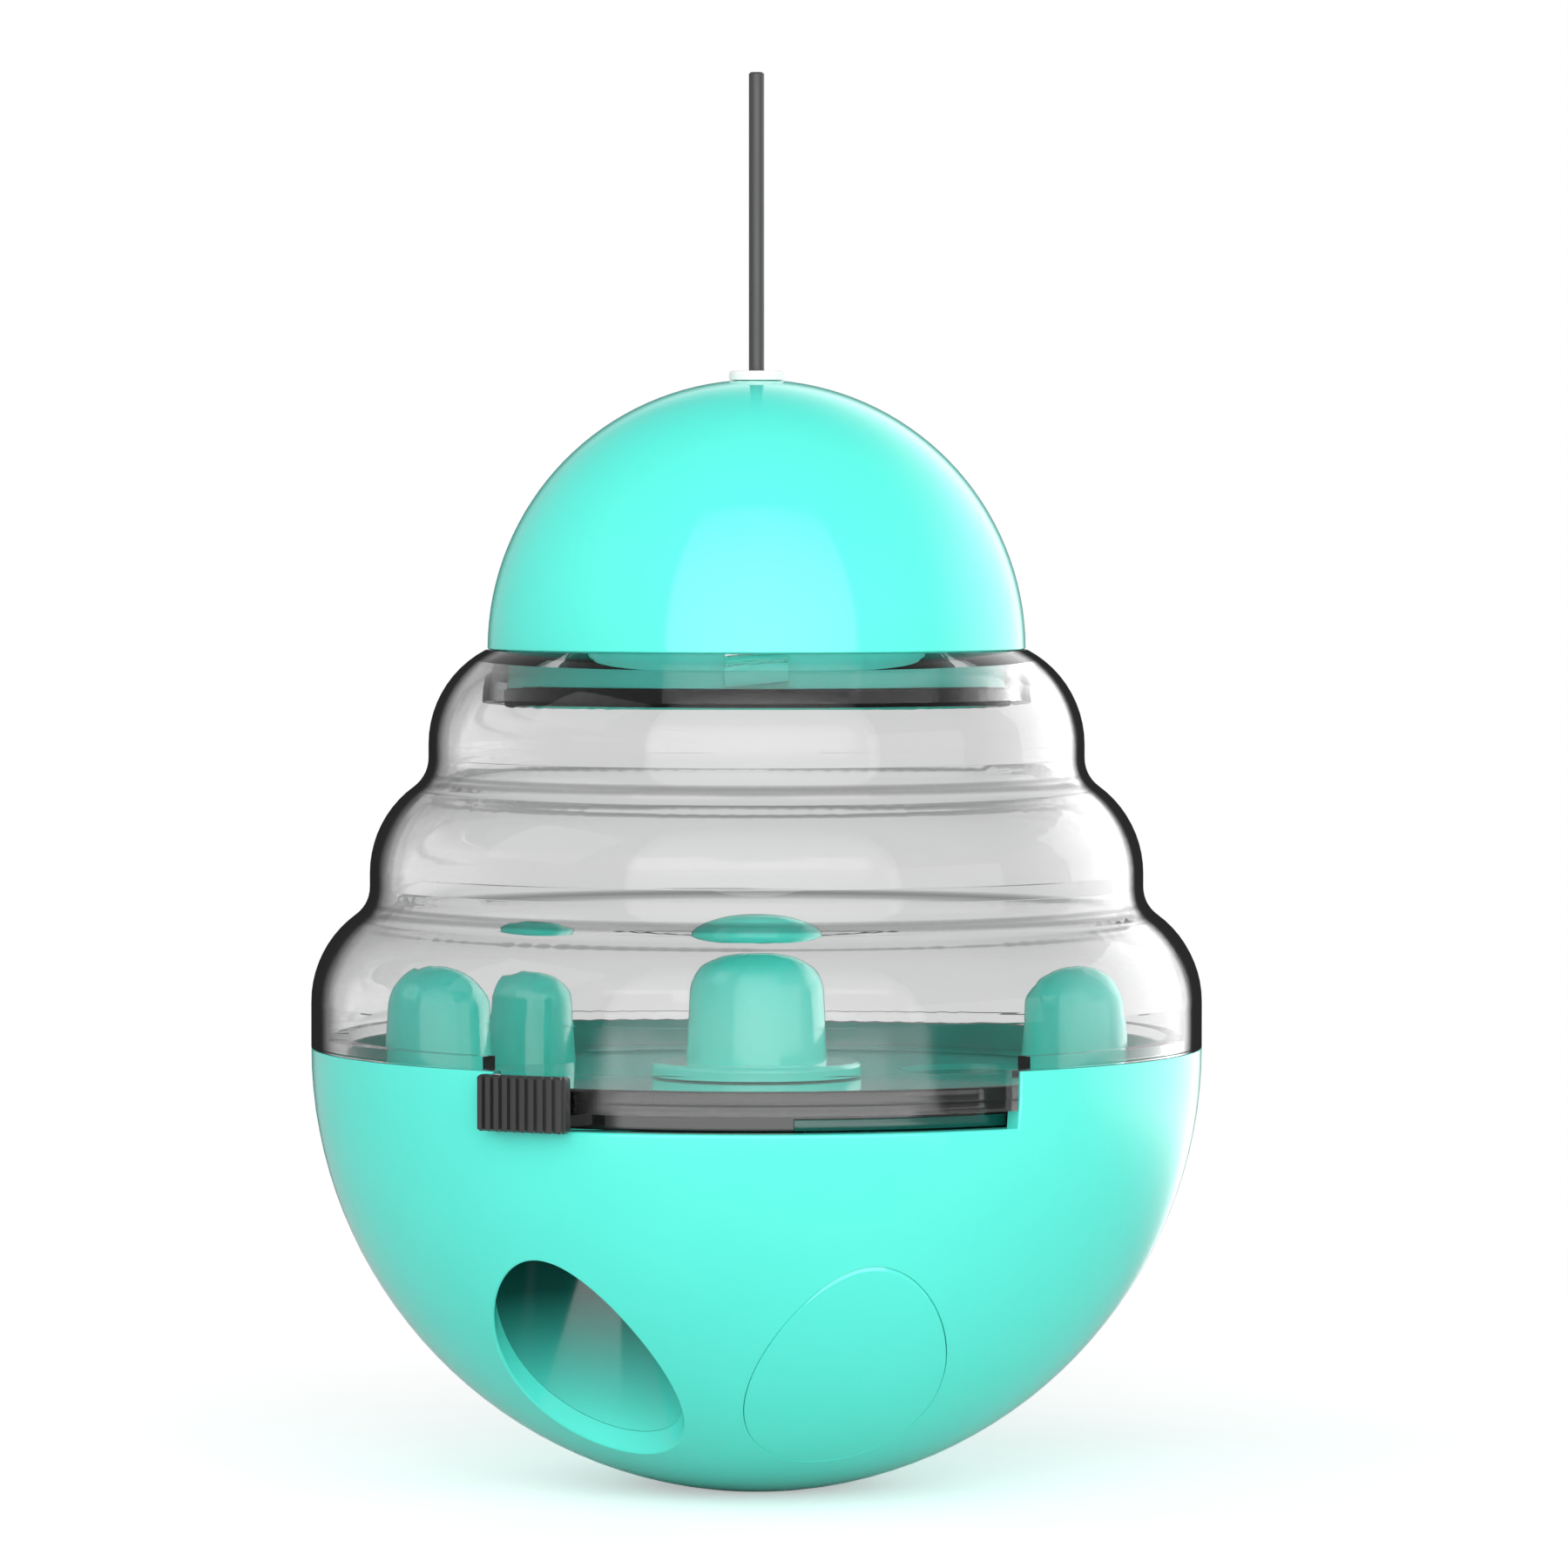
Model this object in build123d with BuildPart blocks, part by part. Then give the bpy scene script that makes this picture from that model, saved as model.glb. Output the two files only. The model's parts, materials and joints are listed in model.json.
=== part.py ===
from build123d import *
import os
from math import acos, asin, atan, cos, degrees, hypot, pi, radians, sin, sqrt

# A round-bottomed treat dispenser for cats: a weighted bowl, a clear stepped body, a domed cap and a wand.
# Millimetres, +Z up, origin under the middle of the foot. The front, with the window, faces -Y.
# An azimuth is measured in degrees from the front, positive towards +X.

# Clearances
fit_gap = 0.3
running_gap = 0.08
glide_gap = 0.2
seat_gap = 0.05
seam_gap = 0.1

# Bowl, a half ball with a small flat foot
bowl_radius = 52.0
bowl_wall = 2.2
foot_radius = 7.5
window_half_angle = 34.5
window_depth = 6.4
window_edge = 0.3
slot_height = 2.0
boss_radius = 3.4

# Treat outlet and its chute, and the second outlet with its plug
outlet_radius = 10.7
outlet_margin = 5.0
outlet_azimuth = -31.4
outlet_lip = 0.25
chute_wall = 1.5
port_radius = 11.45
port_margin = 4.85
outlet_bridge = 6.91
plug_gap = 0.06
plug_edge = 0.1
plug_flange = 1.5
plug_flange_thickness = 1.6

# Floor plate and its screws
plate_thickness = 2.0
floor_screw_inset = 10.5
floor_screw_azimuths = (78.0, 180.0, -78.0)

# Shutter disc, its stir plate, its grip and its pegs
shutter_clear = 2.2
shutter_height = 2.8
shutter_plate = 1.4
shutter_rim = 1.8
shutter_hole_margin = 1.2
shutter_hole_wall = 1.2
shutter_boss_radius = 7.0
relief_azimuths = (5.0, 22.0)
stir_plate_thickness = 0.7
crumb_hole_radius = 9.0
crumb_hole_inset = 23.4
crumb_hole_azimuth = 115.0
grip_azimuth = -29.2
grip_half_angle = 6.0
grip_height = 6.3
grip_base = 1.35
grip_stem_depth = 0.8
rib_count = 10
rib_height = 0.6
rib_width = 0.62
grip_edge = 0.25
peg_inset = 14.7
peg_spigot_radius = 2.0
peg_draft = 0.6
side_peg_azimuth = 90.0
back_peg_azimuth = -132.5
side_peg_radius = 6.5
side_peg_height = 13.75
back_peg_radius = 5.6
back_peg_height = 12.85

# Hub knob, the shutter's pivot
hub_flange_radius = 12.3
hub_flange_thickness = 1.6
hub_flange_edge = 0.6
hub_radius = 8.25
hub_height = 15.55
hub_draft = 0.7
hub_shoulder = 7.0
hub_shank_radius = 4.0
hub_spigot_radius = 2.6
hub_washer_radius = 4.6
hub_washer_thickness = 0.8

# Counterweight and its cover
weight_clearance = 3.3
weight_height = 9.0
weight_lift = 1.0
weight_edge = 0.8
seat_rib_width = 3.0
cover_wall = 1.5
cover_depth = 7.0
cover_ear_radius = 4.2
cover_ear_reach = 4.6
cover_ear_azimuths = (100.0, 180.0, -100.0)

# Screws
thread_radius = 1.2
thread_length = 7.0
screw_head_radius = 2.3
screw_head_height = 1.3
recess_width = 0.55
recess_length = 2.4
recess_depth = 0.7

# Clear stepped body
clear_wall = 2.0
tier_count = 3
tier_pitch = 15.0
tier_rise = 5.3
tier_arc = 12.4
shoulder_reach = 6.65
groove_fillet = 4.2
inner_fillet = 5.8
skirt_wall = 1.5
skirt_ledge = 1.4
skirt_margin = 2.5
tongue_root = 0.5
neck_wall = 1.0
neck_lip = 0.25

# Domed cap with its collar and seal
dome_radius = 31.4
dome_wall = 2.0
dome_edge = 0.2
collar_inset = 0.2
collar_wall = 2.6
collar_depth = 6.3
collar_flange = 1.4
thread_lead = 18.0
lug_count = 3
lug_azimuth = 0.0
lug_length = 7.0
lug_reach = 1.3
lug_thickness = 1.4
lug_drop = 0.6
lug_root = 0.4
seal_height = 2.0
seal_depth = 1.0
seal_proud = 0.3
bead_height = 1.2

# Wand and its grommet
wand_radius = 0.9
wand_length = 34.7
wand_shoulder = 0.3
wand_edge = 0.2
socket_depth = 9.0
grommet_radius = 3.2
grommet_proud = 1.0
grommet_shank_radius = 2.5
grommet_barb = 0.6
grommet_barb_height = 0.9
grommet_tube_radius = 2.1
grommet_floor = 1.0
grommet_edge = 0.4

# Levels and radii that follow from the sizes above
rim = sqrt(bowl_radius**2 - foot_radius**2)
inner_radius = bowl_radius - bowl_wall
window_floor = rim - window_depth
tongue_bottom = window_floor + slot_height
shutter_bottom = window_floor
shutter_top = shutter_bottom + shutter_height
shutter_plate_bottom = shutter_top - shutter_plate
shutter_radius = sqrt(inner_radius**2 - window_depth**2) - shutter_clear
shutter_hole_radius = outlet_radius - shutter_hole_margin
shutter_hole_edge = shutter_hole_radius + shutter_hole_wall
stir_plate_bottom = shutter_top - stir_plate_thickness
stir_plate_recess = shutter_radius - shutter_rim
plate_top = shutter_bottom - glide_gap
plate_bottom = plate_top - plate_thickness
plate_radius = sqrt(inner_radius**2 - (rim - plate_bottom) ** 2) - fit_gap
stem_bottom = window_floor + fit_gap
stem_thickness = slot_height - 2 * fit_gap
stem_half_angle = window_half_angle - abs(grip_azimuth) - degrees(fit_gap / bowl_radius)
grip_inner = bowl_radius + fit_gap + seat_gap
grip_face = grip_inner + grip_base
grip_bottom = window_floor - seam_gap
flange_bottom = shutter_top + glide_gap
flange_top = flange_bottom + hub_flange_thickness
hub_top = flange_top + hub_height
outlet_circle = bowl_radius - outlet_radius - outlet_margin
port_circle = bowl_radius - port_radius - port_margin
port_spacing = outlet_radius + port_radius + outlet_bridge
port_turn = acos((outlet_circle**2 + port_circle**2 - port_spacing**2) / (2 * outlet_circle * port_circle))
port_azimuth = outlet_azimuth + degrees(port_turn)
floor_screw_circle = bowl_radius - floor_screw_inset
peg_circle = bowl_radius - peg_inset
crumb_hole_circle = bowl_radius - crumb_hole_inset
cover_radius = outlet_circle - outlet_radius - chute_wall - weight_clearance
weight_radius = cover_radius - cover_wall - fit_gap
weight_bottom = rim - sqrt(inner_radius**2 - weight_radius**2) + weight_lift
weight_top = weight_bottom + weight_height
cover_bottom = weight_top + glide_gap
cover_ear_circle = cover_radius + cover_ear_reach
body_bottom = rim + seam_gap
skirt_bottom = shutter_top + 2 * fit_gap
skirt_outer = sqrt(inner_radius**2 - (rim - skirt_bottom) ** 2) - fit_gap
skirt_inner = skirt_outer - skirt_wall
skirt_start = window_half_angle + skirt_margin
tongue_half_angle = window_half_angle - degrees(fit_gap / bowl_radius)
body_inner_radius = bowl_radius - clear_wall
neck_radius = dome_radius + neck_lip
dome_inner_radius = dome_radius - dome_wall
tier_step = (bowl_radius - neck_radius - shoulder_reach) / (tier_count - 1)
collar_radius = dome_inner_radius - collar_inset
collar_flange_radius = sqrt(dome_inner_radius**2 - collar_flange**2) - seat_gap
grommet_hole = grommet_shank_radius + seat_gap
barb_radius = grommet_shank_radius + grommet_barb
wand_spigot_radius = wand_radius - wand_shoulder
seal_radius = collar_radius + seal_proud
seal_seat = collar_radius - seal_depth
neck_lug_inner = seal_radius + fit_gap
neck_bore = hypot(collar_radius + lug_reach, lug_length / 2) + fit_gap
neck_outer = neck_bore + neck_wall
helix_angle = degrees(atan(thread_lead / (2 * pi * neck_lug_inner)))


def tier_radius(index):
    """Outer radius of a tier's upright wall, counted from the bottom tier."""
    return bowl_radius - index * tier_step


def tier_shoulder(index):
    """Height where a tier's upright wall ends and its rounded shoulder starts."""
    return rim + tier_rise + index * tier_pitch


def shoulder_height(index, radius, inset):
    """Height of a tier's shoulder at a radius, on the outside or a wall's inset further in."""
    reach = radius - (tier_radius(index) - tier_arc)
    return tier_shoulder(index) + sqrt((tier_arc - inset) ** 2 - reach**2)


neck_top = shoulder_height(tier_count - 1, neck_radius, 0)
dome_base = neck_top + seam_gap
dome_top = dome_base + dome_radius
collar_bottom = dome_base - collar_depth
seal_bottom = collar_bottom
bead_bottom = seal_bottom + (seal_height - bead_height) / 2
neck_lug_height = neck_top - lug_drop - lug_thickness / 2
cap_lug_height = neck_lug_height - (lug_thickness + fit_gap) / cos(radians(helix_angle))
grommet_top = dome_top + grommet_proud
socket_bottom = grommet_top - socket_depth
grommet_seat = dome_base + sqrt(dome_radius**2 - grommet_hole**2) + seat_gap
barb_top = dome_base + sqrt(dome_inner_radius**2 - barb_radius**2) - seat_gap


def polar(radius, azimuth):
    """Plan position at a radius and an azimuth."""
    return (radius * sin(radians(azimuth)), -radius * cos(radians(azimuth)))


def sector(low, high):
    """Corners of a wedge from the axis out past the bowl, between two azimuths."""
    reach = 3 * bowl_radius
    return ((0, 0), polar(reach, low), polar(reach, high))


def lug_plane(turn, radius, height):
    """Plane square to the radius at a lug, with its X along the quick thread."""
    angle = radians(turn)
    tilt = radians(helix_angle)
    along = (-sin(angle) * cos(tilt), cos(angle) * cos(tilt), sin(tilt))
    outward = (cos(angle), sin(angle), 0)
    return Plane((radius * cos(angle), radius * sin(angle), height), x_dir=along, z_dir=outward)


def on_bowl(edge):
    """True for an edge on the bowl's round outside, below its rim."""
    out_of_round = (edge @ 0.3 - Vector(0, 0, rim)).length - bowl_radius
    return abs(out_of_round) < seat_gap and (edge @ 0.5).Z < rim - seat_gap


outlet_place = polar(outlet_circle, outlet_azimuth)
port_place = polar(port_circle, port_azimuth)
floor_screw_places = [polar(floor_screw_circle, azimuth) for azimuth in floor_screw_azimuths]
cover_ear_places = [polar(cover_ear_circle, azimuth) for azimuth in cover_ear_azimuths]
peg_azimuths = (-side_peg_azimuth, back_peg_azimuth, side_peg_azimuth)
lug_turns = [lug_azimuth - 90 + index * 360 / lug_count for index in range(lug_count)]

# Bosses and the counterweight's seat, trimmed to the bowl's inside before they join it
with BuildPart() as bowl_bosses:
    with BuildSketch():
        with Locations(*floor_screw_places):
            Circle(boss_radius)
    extrude(amount=plate_bottom)
    with BuildSketch():
        with Locations(*cover_ear_places):
            Circle(boss_radius)
    extrude(amount=cover_bottom)
    with BuildSketch():
        Circle(weight_radius - weight_edge)
        Circle(weight_radius - weight_edge - seat_rib_width, mode=Mode.SUBTRACT)
    extrude(amount=weight_bottom)
    with Locations((0, 0, rim)):
        Sphere(inner_radius + bowl_wall / 2, mode=Mode.INTERSECT)

# Bowl: a half ball shell with the rim window, two outlets, the bosses and the seat
with BuildPart() as bowl:
    with BuildSketch(Plane.XZ):
        with BuildLine():
            foot_angle = degrees(asin(foot_radius / bowl_radius))
            outside = CenterArc((0, rim), bowl_radius, foot_angle - 90, 90 - foot_angle)
            inside = CenterArc((0, rim), inner_radius, -90, 90)
            Polyline(outside @ 0, (0, 0), inside @ 0)
            Line(inside @ 1, outside @ 1)
        make_face()
    revolve(axis=Axis.Z)
    with BuildSketch(Plane.XY.offset(window_floor)):
        Polygon(*sector(-window_half_angle, window_half_angle), align=None)
    extrude(amount=2 * window_depth, mode=Mode.SUBTRACT)
    fillet(bowl.edges(Select.LAST).filter_by(on_bowl), radius=window_edge)
    with BuildSketch():
        with Locations(outlet_place):
            Circle(outlet_radius)
    extrude(amount=plate_bottom, mode=Mode.SUBTRACT)
    fillet(bowl.edges(Select.LAST).filter_by(on_bowl), radius=outlet_lip)
    with BuildSketch():
        with Locations(port_place):
            Circle(port_radius)
    extrude(amount=plate_bottom, mode=Mode.SUBTRACT)
    fillet(bowl.edges(Select.LAST).filter_by(on_bowl), radius=plug_edge)
    add(bowl_bosses.part)
    with Locations(*[(x, y, plate_bottom) for x, y in floor_screw_places]):
        Hole(thread_radius + seat_gap, depth=thread_length)
    with Locations(*[(x, y, cover_bottom) for x, y in cover_ear_places]):
        Hole(thread_radius + seat_gap, depth=thread_length)

# Chute: a tube from the floor plate down to the bowl's inside, round the open outlet
with BuildPart() as outlet_chute:
    with BuildSketch(Plane.XY.offset(plate_bottom)):
        with Locations(outlet_place):
            Circle(outlet_radius + chute_wall)
            Circle(outlet_radius, mode=Mode.SUBTRACT)
    extrude(amount=-plate_bottom)
    with Locations((0, 0, rim)):
        Sphere(inner_radius - seat_gap, mode=Mode.INTERSECT)

# Plug: a blank flush with the bowl in the second outlet, with a flange against the bowl's inside
with BuildPart() as plug_blank:
    with BuildSketch():
        with Locations(port_place):
            Circle(port_radius - plug_gap)
    extrude(amount=plate_bottom - fit_gap)
    with Locations((0, 0, rim)):
        Sphere(bowl_radius, mode=Mode.INTERSECT)
    fillet(plug_blank.edges().filter_by(on_bowl), radius=plug_edge)

with BuildPart() as plug_flange_ring:
    with BuildSketch():
        with Locations(port_place):
            Circle(port_radius + plug_flange)
    extrude(amount=plate_bottom - fit_gap)
    with Locations((0, 0, rim)):
        Sphere(inner_radius - seat_gap, mode=Mode.INTERSECT)

with BuildPart() as outlet_plug:
    add(plug_blank.part)
    add(plug_flange_ring.part)
    with Locations((0, 0, rim)):
        Sphere(inner_radius - seat_gap - plug_flange_thickness, mode=Mode.SUBTRACT)

# Floor plate: closes the bowl under the shutter, with a hole over the chute
with BuildPart() as floor_plate:
    with BuildSketch(Plane.XY.offset(plate_bottom)):
        Circle(plate_radius)
        Circle(hub_spigot_radius + seat_gap, mode=Mode.SUBTRACT)
        with Locations(outlet_place):
            Circle(outlet_radius, mode=Mode.SUBTRACT)
    extrude(amount=plate_thickness)
    with Locations(*[(x, y, plate_top) for x, y in floor_screw_places]):
        CounterSinkHole(thread_radius + seat_gap, screw_head_radius + seat_gap)

# Countersunk screw, drawn with its head's top at the origin
with BuildPart() as flat_screw:
    with BuildSketch(Plane.XZ):
        with BuildLine():
            Polyline(
                (0, 0),
                (screw_head_radius, 0),
                (thread_radius, thread_radius - screw_head_radius),
                (thread_radius, -thread_length),
                (0, -thread_length),
                close=True,
            )
        make_face()
    revolve(axis=Axis.Z)
    with BuildSketch():
        Rectangle(recess_length, recess_width)
        Rectangle(recess_width, recess_length)
    extrude(amount=-recess_depth, mode=Mode.SUBTRACT)

# Pan head screw, drawn with the underside of its head at the origin
with BuildPart() as pan_screw:
    with BuildSketch(Plane.XZ):
        with BuildLine():
            Polyline(
                (0, screw_head_height),
                (screw_head_radius, screw_head_height),
                (screw_head_radius, 0),
                (thread_radius, 0),
                (thread_radius, -thread_length),
                (0, -thread_length),
                close=True,
            )
        make_face()
    revolve(axis=Axis.Z)
    fillet(pan_screw.edges().group_by(Axis.Z)[-1], radius=screw_head_height / 2)
    with BuildSketch(Plane.XY.offset(screw_head_height)):
        Rectangle(recess_length, recess_width)
        Rectangle(recess_width, recess_length)
    extrude(amount=-recess_depth, mode=Mode.SUBTRACT)

with BuildPart() as floor_screws:
    with Locations(*[(x, y, plate_top) for x, y in floor_screw_places]):
        add(flat_screw.part)

# Hub knob: the shutter's pivot, with a flange over the disc and a spigot in the floor plate
with BuildPart() as hub_knob:
    with BuildSketch(Plane.XZ) as hub_profile:
        with BuildLine():
            Polyline(
                (0, plate_bottom),
                (hub_spigot_radius, plate_bottom),
                (hub_spigot_radius, plate_top),
                (hub_shank_radius, plate_top),
                (hub_shank_radius, flange_bottom),
                (hub_flange_radius, flange_bottom),
                (hub_flange_radius, flange_top),
                (hub_radius, flange_top),
                (hub_radius - hub_draft, hub_top),
                (0, hub_top),
                close=True,
            )
        make_face()
        shoulder = hub_profile.vertices().sort_by_distance((hub_radius - hub_draft, hub_top))[0]
        fillet(shoulder, radius=hub_shoulder)
        flange_edge = hub_profile.vertices().sort_by_distance((hub_flange_radius, flange_top))[0]
        fillet(flange_edge, radius=hub_flange_edge)
    revolve(axis=Axis.Z)
    with Locations(Location((0, 0, plate_bottom), (180, 0, 0))):
        Hole(thread_radius + seat_gap, depth=thread_length)

with BuildPart() as hub_washer:
    with BuildSketch(Plane.XY.offset(plate_bottom)):
        Circle(hub_washer_radius)
        Circle(thread_radius + seat_gap, mode=Mode.SUBTRACT)
    extrude(amount=-hub_washer_thickness)

with BuildPart() as hub_screw:
    with Locations(Location((0, 0, plate_bottom - hub_washer_thickness), (180, 0, 0))):
        add(pan_screw.part)

# Shutter disc: a thin plate with a rim, a treat hole, a pivot boss, a stem through the window's slot,
# and a shallow recess for the stir plate
with BuildPart() as shutter_disc:
    with BuildSketch(Plane.XY.offset(shutter_bottom)):
        Circle(shutter_radius)
        Circle(shutter_radius - shutter_rim, mode=Mode.SUBTRACT)
    extrude(amount=shutter_height)
    with BuildSketch(Plane.XY.offset(shutter_bottom)):
        Circle(shutter_radius)
        Circle(shutter_radius - shutter_rim, mode=Mode.SUBTRACT)
        Polygon(*sector(*relief_azimuths), align=None, mode=Mode.INTERSECT)
    extrude(amount=shutter_height - shutter_plate, mode=Mode.SUBTRACT)
    with BuildSketch(Plane.XY.offset(shutter_plate_bottom)):
        Circle(shutter_radius)
    extrude(amount=shutter_plate)
    with BuildSketch(Plane.XY.offset(shutter_bottom)):
        Circle(shutter_boss_radius)
        with Locations(outlet_place):
            Circle(shutter_hole_edge)
    extrude(amount=shutter_height)
    with BuildSketch(Plane.XY.offset(stem_bottom)):
        Circle(grip_inner + grip_stem_depth)
        Circle(shutter_radius - shutter_rim, mode=Mode.SUBTRACT)
        Polygon(
            *sector(grip_azimuth - stem_half_angle, grip_azimuth + stem_half_angle),
            align=None,
            mode=Mode.INTERSECT,
        )
    extrude(amount=stem_thickness)
    with BuildSketch(Plane.XY.offset(shutter_bottom)):
        Circle(hub_shank_radius + running_gap)
        with Locations(outlet_place):
            Circle(shutter_hole_radius)
        with Locations(*[polar(peg_circle, azimuth) for azimuth in peg_azimuths]):
            Circle(peg_spigot_radius + seat_gap)
    extrude(amount=shutter_height, mode=Mode.SUBTRACT)
    with BuildSketch(Plane.XY.offset(stir_plate_bottom)):
        Circle(stir_plate_recess)
        Circle(shutter_boss_radius, mode=Mode.SUBTRACT)
        with Locations(outlet_place):
            Circle(shutter_hole_edge, mode=Mode.SUBTRACT)
    extrude(amount=stir_plate_thickness, mode=Mode.SUBTRACT)

# Stir plate: lies in the disc's recess round the boss and the treat hole, under the pegs
with BuildPart() as stir_plate:
    with BuildSketch(Plane.XY.offset(stir_plate_bottom)):
        Circle(stir_plate_recess - seat_gap)
        Circle(shutter_boss_radius + seat_gap, mode=Mode.SUBTRACT)
        with Locations(outlet_place):
            Circle(shutter_hole_edge + seat_gap, mode=Mode.SUBTRACT)
        with Locations(polar(crumb_hole_circle, crumb_hole_azimuth)):
            Circle(crumb_hole_radius, mode=Mode.SUBTRACT)
        with Locations(*[polar(peg_circle, azimuth) for azimuth in peg_azimuths]):
            Circle(peg_spigot_radius + seat_gap, mode=Mode.SUBTRACT)
    extrude(amount=stir_plate_thickness)

# Grip: a ribbed block outside the window, pushed onto the shutter's stem
with BuildPart() as shutter_grip:
    with BuildSketch(Plane.XY.offset(grip_bottom)):
        Circle(grip_face)
        Circle(grip_inner, mode=Mode.SUBTRACT)
        Polygon(
            *sector(grip_azimuth - grip_half_angle, grip_azimuth + grip_half_angle),
            align=None,
            mode=Mode.INTERSECT,
        )
    extrude(amount=grip_height)
    with BuildSketch(Plane.XY.offset(grip_bottom)):
        for index in range(rib_count):
            azimuth = grip_azimuth + grip_half_angle * ((2 * index + 1) / rib_count - 1)
            with Locations(Location((*polar(grip_face, azimuth), 0), (0, 0, azimuth))):
                Rectangle(rib_width, 2 * rib_height)
    extrude(amount=grip_height)
    with BuildSketch(Plane.XY.offset(stem_bottom - seat_gap)):
        Circle(grip_inner + grip_stem_depth + seat_gap)
        Polygon(
            *sector(
                grip_azimuth - stem_half_angle - degrees(seat_gap / bowl_radius),
                grip_azimuth + stem_half_angle + degrees(seat_gap / bowl_radius),
            ),
            align=None,
            mode=Mode.INTERSECT,
        )
    extrude(amount=stem_thickness + 2 * seat_gap, mode=Mode.SUBTRACT)
    chamfer(shutter_grip.edges().group_by(Axis.Z)[0], length=grip_edge)
    chamfer(shutter_grip.edges().group_by(Axis.Z)[-1], length=grip_edge)


def stirring_peg(azimuth, radius, height):
    """Bullet shaped peg on the stir plate, with a spigot through that plate and the disc."""
    with BuildPart() as peg:
        with BuildSketch(Plane.XZ):
            with BuildLine():
                shoulder = (radius - peg_draft, shutter_top + height - radius + peg_draft)
                Polyline(
                    (0, shutter_top + height),
                    (0, shutter_plate_bottom),
                    (peg_spigot_radius, shutter_plate_bottom),
                    (peg_spigot_radius, shutter_top),
                    (radius, shutter_top),
                    shoulder,
                )
                CenterArc((0, shoulder[1]), shoulder[0], 0, 90)
            make_face()
        revolve(axis=Axis.Z)
    x, y = polar(peg_circle, azimuth)
    return peg.part.moved(Location((x, y, 0)))


peg_left = stirring_peg(-side_peg_azimuth, side_peg_radius, side_peg_height)
peg_back = stirring_peg(back_peg_azimuth, back_peg_radius, back_peg_height)
peg_right = stirring_peg(side_peg_azimuth, side_peg_radius, side_peg_height)

# Counterweight: a steel puck on the bowl's seat
with BuildPart() as counterweight:
    with BuildSketch(Plane.XY.offset(weight_bottom)):
        Circle(weight_radius)
    extrude(amount=weight_height)
    chamfer(counterweight.edges(), length=weight_edge)

# Cover: a cup over the counterweight, with three screw ears
with BuildPart() as weight_cover:
    with BuildSketch(Plane.XY.offset(cover_bottom)):
        Circle(cover_radius)
        for azimuth in cover_ear_azimuths:
            with Locations(polar(cover_ear_circle, azimuth)):
                Circle(cover_ear_radius)
            with Locations(Location((*polar(cover_ear_circle / 2, azimuth), 0), (0, 0, azimuth))):
                Rectangle(2 * cover_ear_radius, cover_ear_circle)
    extrude(amount=cover_wall)
    with BuildSketch(Plane.XY.offset(cover_bottom)):
        Circle(cover_radius)
        Circle(cover_radius - cover_wall, mode=Mode.SUBTRACT)
    extrude(amount=-cover_depth)
    with Locations(*[(x, y, cover_bottom + cover_wall) for x, y in cover_ear_places]):
        Hole(thread_radius + seat_gap, depth=cover_wall)

with BuildPart() as weight_screws:
    with Locations(*[(x, y, cover_bottom + cover_wall) for x, y in cover_ear_places]):
        add(pan_screw.part)


def upright(azimuth):
    """Upright plane through the axis, with its X outward at an azimuth and its Y up."""
    x, y = polar(1, azimuth)
    return Plane((0, 0, 0), x_dir=(x, y, 0), z_dir=(y, -x, 0))


def tier_outline(inset, start_height, end_radius):
    """Tiers' outline, drawn upwards: each an upright wall and a rounded shoulder."""
    for index in range(tier_count):
        wall = tier_radius(index) - inset
        top_radius = end_radius if index == tier_count - 1 else tier_radius(index + 1) - inset
        bottom = start_height if index == 0 else shoulder_height(index - 1, wall, inset)
        centre = (tier_radius(index) - tier_arc, tier_shoulder(index))
        Line((wall, bottom), (wall, tier_shoulder(index)))
        CenterArc(centre, tier_arc - inset, 0, degrees(acos((top_radius - centre[0]) / (tier_arc - inset))))


# Tongue of the clear body: fills the bowl's window above the slot, flush with the bowl
with BuildPart() as tongue:
    with BuildSketch(upright(-tongue_half_angle)):
        with BuildLine():
            outer_drop = degrees(asin((tongue_bottom - rim) / bowl_radius))
            inner_drop = degrees(asin((tongue_bottom - rim) / body_inner_radius))
            outer = CenterArc((0, rim), bowl_radius, outer_drop, -outer_drop)
            inner = CenterArc((0, rim), body_inner_radius, inner_drop, -inner_drop)
            Line(outer @ 0, inner @ 0)
            Polyline(
                outer @ 1,
                (bowl_radius, body_bottom),
                (bowl_radius - tongue_root, body_bottom),
                (bowl_radius - tongue_root, body_bottom + skirt_ledge),
                (body_inner_radius + tongue_root, body_bottom + skirt_ledge),
                (body_inner_radius + tongue_root, body_bottom),
                (body_inner_radius, body_bottom),
                inner @ 1,
            )
        make_face()
    revolve(axis=Axis.Z, revolution_arc=2 * tongue_half_angle)

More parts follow.
